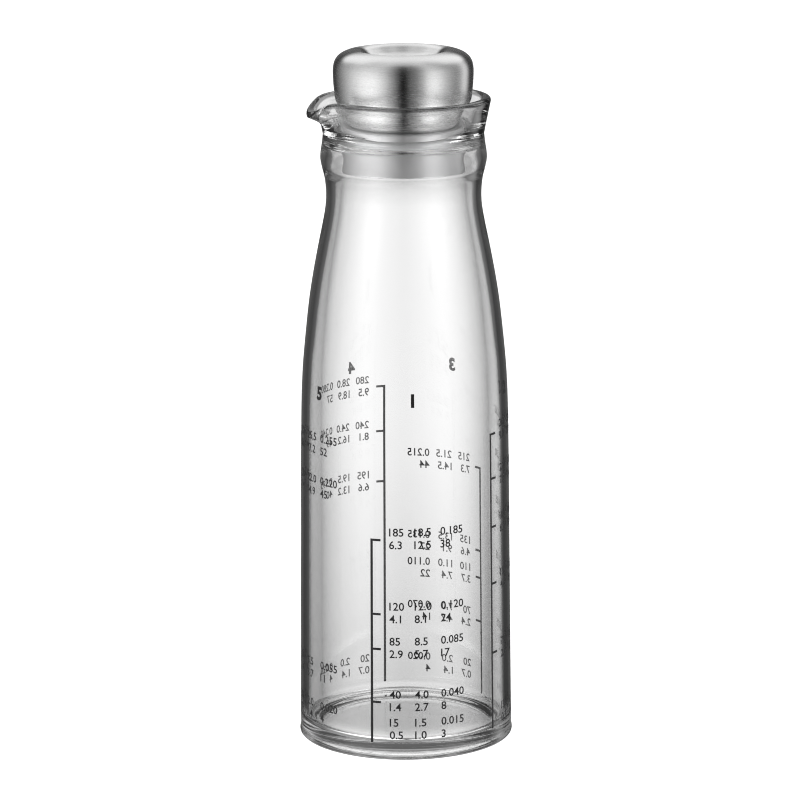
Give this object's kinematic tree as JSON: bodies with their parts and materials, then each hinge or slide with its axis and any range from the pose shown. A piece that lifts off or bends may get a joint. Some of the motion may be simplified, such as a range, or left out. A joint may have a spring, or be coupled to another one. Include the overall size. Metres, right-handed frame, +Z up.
{
  "type": "salad dressing shaker bottle",
  "caption": "Slender waisted glass shaker bottle with a pouring lip on its flared collar, closed by a tapered plug stopper under a dished brushed steel cap.",
  "frame": {"origin": "centre of the base, on the surface that the bottle stands on", "axes": "+Z up the bottle's axis to the cap; the pouring lip points towards -X, turned 8.8 degrees towards -Y; the printed scale faces -Y"},
  "size_m": [0.0664, 0.0664, 0.2144],
  "materials": {
    "clear_glass": "clear polished blown glass",
    "cap_steel": "fine circular brushing, satin",
    "insert_plastic": "moulded, fine matt",
    "plug_plastic": "translucent light grey, satin",
    "seal_silicone": "translucent silicone, satin",
    "scale_enamel": "black enamel print, fired on the glass"
  },
  "bodies": {
    "bottle": {"glass_bottle": "clear_glass"},
    "seal": {"seal_ring": "seal_silicone"},
    "stopper": {"plug_body": "plug_plastic", "cap_insert": "insert_plastic", "cap_shell": "cap_steel"}
  },
  "joints": [
    {"name": "stopper_lift", "type": "slide", "parent": "bottle", "child": "seal", "axis": [0, 0, 1], "range_m": [0, 0.05]},
    {"name": "stopper_twist", "type": "hinge", "parent": "seal", "child": "stopper", "pos_m": [0, 0, 0.1879], "axis": [0, 0, 1], "continuous": true}
  ]
}
